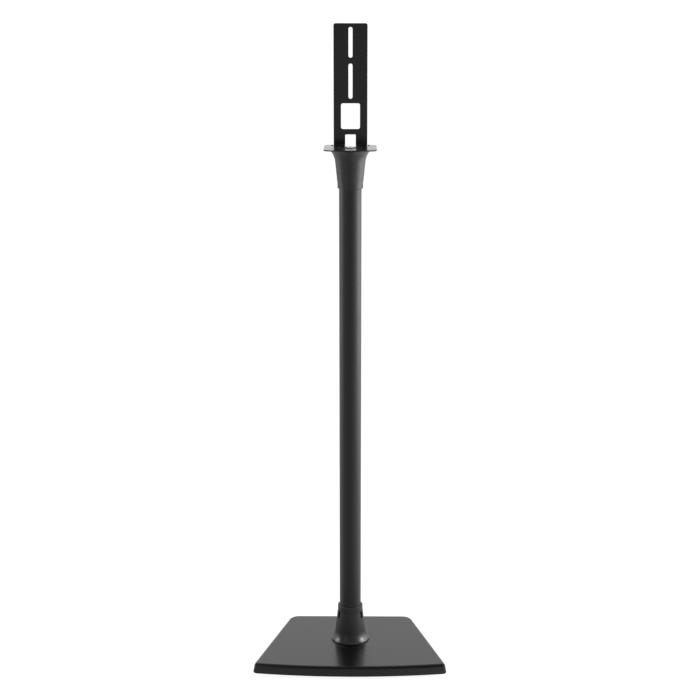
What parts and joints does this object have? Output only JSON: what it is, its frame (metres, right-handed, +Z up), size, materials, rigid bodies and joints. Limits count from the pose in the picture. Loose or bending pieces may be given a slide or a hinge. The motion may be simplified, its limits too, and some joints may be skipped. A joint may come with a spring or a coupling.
{
  "type": "speaker stand",
  "caption": "Floor speaker stand: bowed trapezoid board, round pole with flared trim collars and a bent steel bracket with a slotted back plate for a small speaker.",
  "frame": {"origin": "on the floor under the middle of the board's bounding box", "axes": "+Z up along the pole, -Y towards the bowed front edge, X across the stand; the pole stands 12.75 mm behind the origin"},
  "size_m": [0.3384, 0.2188, 1.1117],
  "materials": {
    "board_black": "satin black film on fibreboard",
    "pole_black": "satin black powder coat",
    "bracket_black": "satin black powder coat",
    "collar_black": "fine satin moulding",
    "bolt_black": "black oxide",
    "zinc_plated": "bright zinc plate",
    "steel": "plain machined steel",
    "rubber_black": "matt moulded rubber"
  },
  "bodies": {
    "stand": {"base_board": "board_black", "ballast_plate": "steel", "ballast_screws": "zinc_plated", "foot_screws": "zinc_plated", "base_bolts": "zinc_plated", "base_washers": "zinc_plated", "base_lock_washers": "zinc_plated", "pole_tube": "pole_black", "foot_plug": "steel", "foot_plug_pins": "steel", "head_plug": "steel", "head_plug_pins": "steel", "upper_collar": "collar_black", "speaker_bracket": "bracket_black", "head_bolts": "bolt_black", "foot_front_left": "rubber_black", "foot_front_right": "rubber_black", "foot_rear_left": "rubber_black", "foot_rear_right": "rubber_black"},
    "collar": {"lower_collar": "collar_black"}
  },
  "joints": [
    {"name": "collar_lift", "type": "slide", "parent": "stand", "child": "collar", "axis": [0, 0, 1], "range_m": [0, 0.75]}
  ]
}
